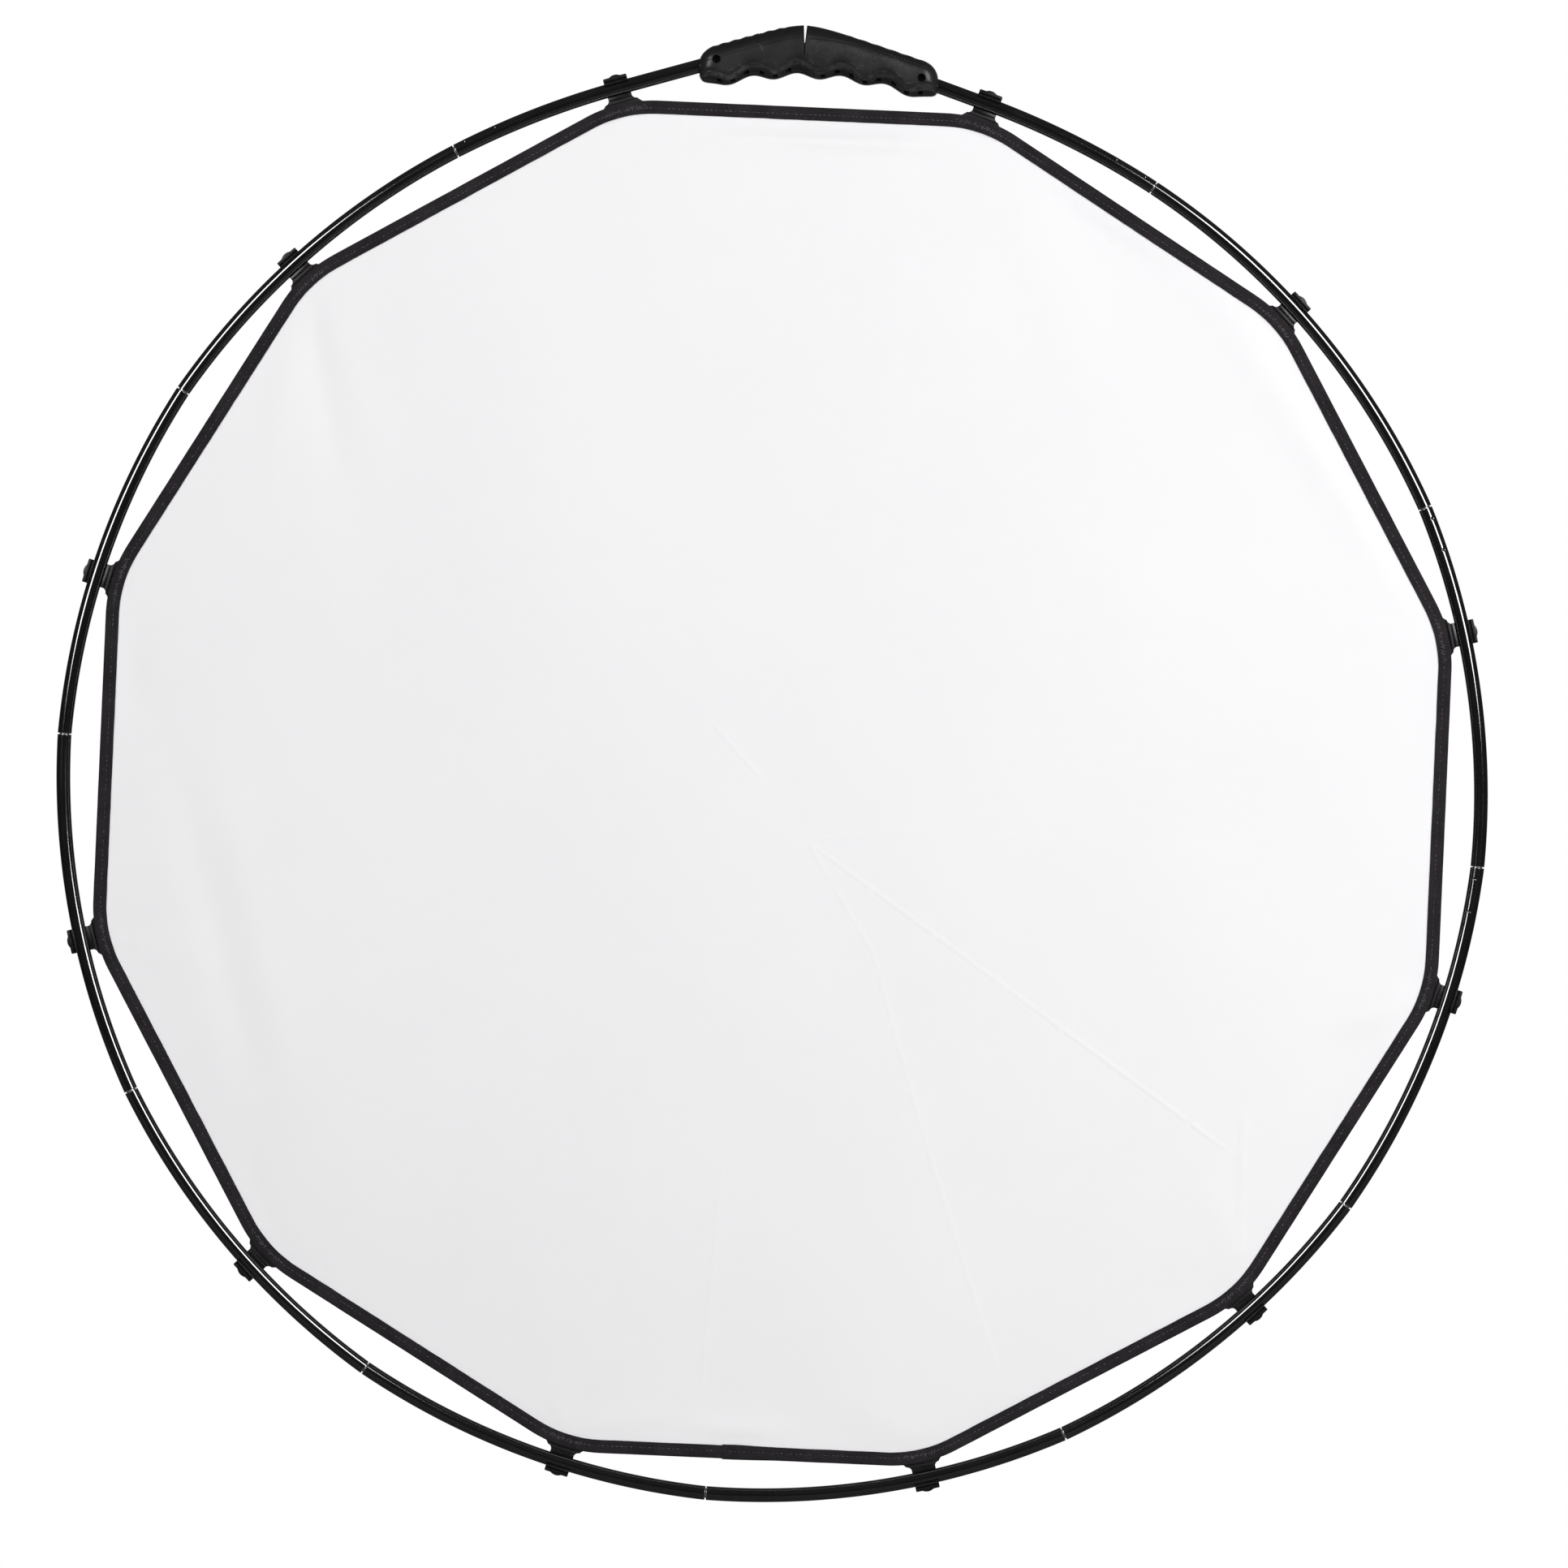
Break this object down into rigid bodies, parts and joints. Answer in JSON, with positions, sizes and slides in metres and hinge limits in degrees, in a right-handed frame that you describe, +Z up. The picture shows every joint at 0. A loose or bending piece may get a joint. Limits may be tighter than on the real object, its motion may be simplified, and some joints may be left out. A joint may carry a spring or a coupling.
{
  "type": "hand-held diffuser panel",
  "caption": "Round collapsible hoop of plugged tubes with a two-part finger grip, holding a twelve-sided translucent cover by snap clips.",
  "frame": {"origin": "middle of the hand grip, on the split between its two halves and in the plane of the cover", "axes": "+Z up out of the hoop through the grip, +X to the right as seen from the front, -Y out of the front face, where the clips' mouths open"},
  "size_m": [0.8204, 0.0244, 0.8464],
  "materials": {
    "hoop_tube": "gloss",
    "ferrule": "satin",
    "clip": "satin",
    "grip": "satin",
    "tongue": "satin",
    "screw": "satin",
    "diffuser_fabric": "matte",
    "binding_tape": "matte",
    "elastic_cord": "matte"
  },
  "bodies": {
    "left_hoop": {"hoop_tube_07": "hoop_tube", "hoop_tube_08": "hoop_tube", "hoop_tube_09": "hoop_tube", "hoop_tube_10": "hoop_tube", "hoop_tube_11": "hoop_tube", "hoop_tube_12": "hoop_tube", "ferrule_06": "ferrule", "ferrule_07": "ferrule", "ferrule_08": "ferrule", "ferrule_09": "ferrule", "ferrule_10": "ferrule", "ferrule_11": "ferrule", "grip_left_front": "grip", "grip_left_back": "grip", "grip_screw_left": "screw", "shock_cord": "elastic_cord", "cover_fabric": "diffuser_fabric", "cover_binding": "binding_tape"},
    "right_hoop": {"hoop_tube_01": "hoop_tube", "hoop_tube_02": "hoop_tube", "hoop_tube_03": "hoop_tube", "hoop_tube_04": "hoop_tube", "hoop_tube_05": "hoop_tube", "hoop_tube_06": "hoop_tube", "ferrule_01": "ferrule", "ferrule_02": "ferrule", "ferrule_03": "ferrule", "ferrule_04": "ferrule", "ferrule_05": "ferrule", "grip_right_front": "grip", "grip_right_back": "grip", "grip_screw_right": "screw", "grip_tongue": "tongue"},
    "clip_01": {"cover_clip_01": "clip"},
    "clip_02": {"cover_clip_02": "clip"},
    "clip_03": {"cover_clip_03": "clip"},
    "clip_04": {"cover_clip_04": "clip"},
    "clip_05": {"cover_clip_05": "clip"},
    "clip_06": {"cover_clip_06": "clip"},
    "clip_07": {"cover_clip_07": "clip"},
    "clip_08": {"cover_clip_08": "clip"},
    "clip_09": {"cover_clip_09": "clip"},
    "clip_10": {"cover_clip_10": "clip"},
    "clip_11": {"cover_clip_11": "clip"},
    "clip_12": {"cover_clip_12": "clip"}
  },
  "joints": [
    {"name": "hoop_open", "type": "hinge", "parent": "left_hoop", "child": "right_hoop", "pos_m": [-0.02034, 0, -0.82249], "axis": [0, 1, 0], "range_deg": [0, 1], "deforming": ["cover_fabric", "cover_binding", "shock_cord"]},
    {"name": "clip_01_turn", "type": "hinge", "parent": "right_hoop", "child": "clip_01", "pos_m": [0.10602, 0, -0.02483], "axis": [0.9525, 0, -0.3045], "range_deg": [-5, 5], "deforming": ["cover_binding", "cover_fabric"]},
    {"name": "clip_02_turn", "type": "hinge", "parent": "right_hoop", "child": "clip_02", "pos_m": [0.28669, 0, -0.13381], "axis": [0.7055, 0, -0.7087], "range_deg": [-5, 5], "deforming": ["cover_binding", "cover_fabric"]},
    {"name": "clip_03_turn", "type": "hinge", "parent": "right_hoop", "child": "clip_03", "pos_m": [0.39183, 0, -0.31551], "axis": [0.254, 0, -0.9672], "range_deg": [-5, 5], "deforming": ["cover_binding", "cover_fabric"]},
    {"name": "clip_04_turn", "type": "hinge", "parent": "right_hoop", "child": "clip_04", "pos_m": [0.39182, 0, -0.52549], "axis": [-0.2632, 0, -0.9647], "range_deg": [-5, 5], "deforming": ["cover_binding", "cover_fabric"]},
    {"name": "clip_05_turn", "type": "hinge", "parent": "right_hoop", "child": "clip_05", "pos_m": [0.28682, 0, -0.70732], "axis": [-0.71, 0, -0.7042], "range_deg": [-5, 5], "deforming": ["cover_binding", "cover_fabric"]},
    {"name": "clip_06_turn", "type": "hinge", "parent": "right_hoop", "child": "clip_06", "pos_m": [0.10498, 0, -0.8123], "axis": [-0.9669, 0, -0.2553], "range_deg": [-5, 5], "deforming": ["cover_binding", "cover_fabric"]},
    {"name": "clip_07_turn", "type": "hinge", "parent": "left_hoop", "child": "clip_07", "pos_m": [-0.10498, 0, -0.81229], "axis": [-0.9651, 0, 0.2619], "range_deg": [-5, 5], "deforming": ["cover_binding", "cover_fabric"]},
    {"name": "clip_08_turn", "type": "hinge", "parent": "left_hoop", "child": "clip_08", "pos_m": [-0.2868, 0, -0.7073], "axis": [-0.7051, 0, 0.7091], "range_deg": [-5, 5], "deforming": ["cover_binding", "cover_fabric"]},
    {"name": "clip_09_turn", "type": "hinge", "parent": "left_hoop", "child": "clip_09", "pos_m": [-0.39177, 0, -0.52548], "axis": [-0.2566, 0, 0.9665], "range_deg": [-5, 5], "deforming": ["cover_binding", "cover_fabric"]},
    {"name": "clip_10_turn", "type": "hinge", "parent": "left_hoop", "child": "clip_10", "pos_m": [-0.39177, 0, -0.31553], "axis": [0.2606, 0, 0.9654], "range_deg": [-5, 5], "deforming": ["cover_binding", "cover_fabric"]},
    {"name": "clip_11_turn", "type": "hinge", "parent": "left_hoop", "child": "clip_11", "pos_m": [-0.28679, 0, -0.13371], "axis": [0.7081, 0, 0.7061], "range_deg": [-5, 5], "deforming": ["cover_binding", "cover_fabric"]},
    {"name": "clip_12_turn", "type": "hinge", "parent": "left_hoop", "child": "clip_12", "pos_m": [-0.10602, 0, -0.02484], "axis": [0.9513, 0, 0.3084], "range_deg": [-5, 5], "deforming": ["cover_binding", "cover_fabric"]}
  ]
}
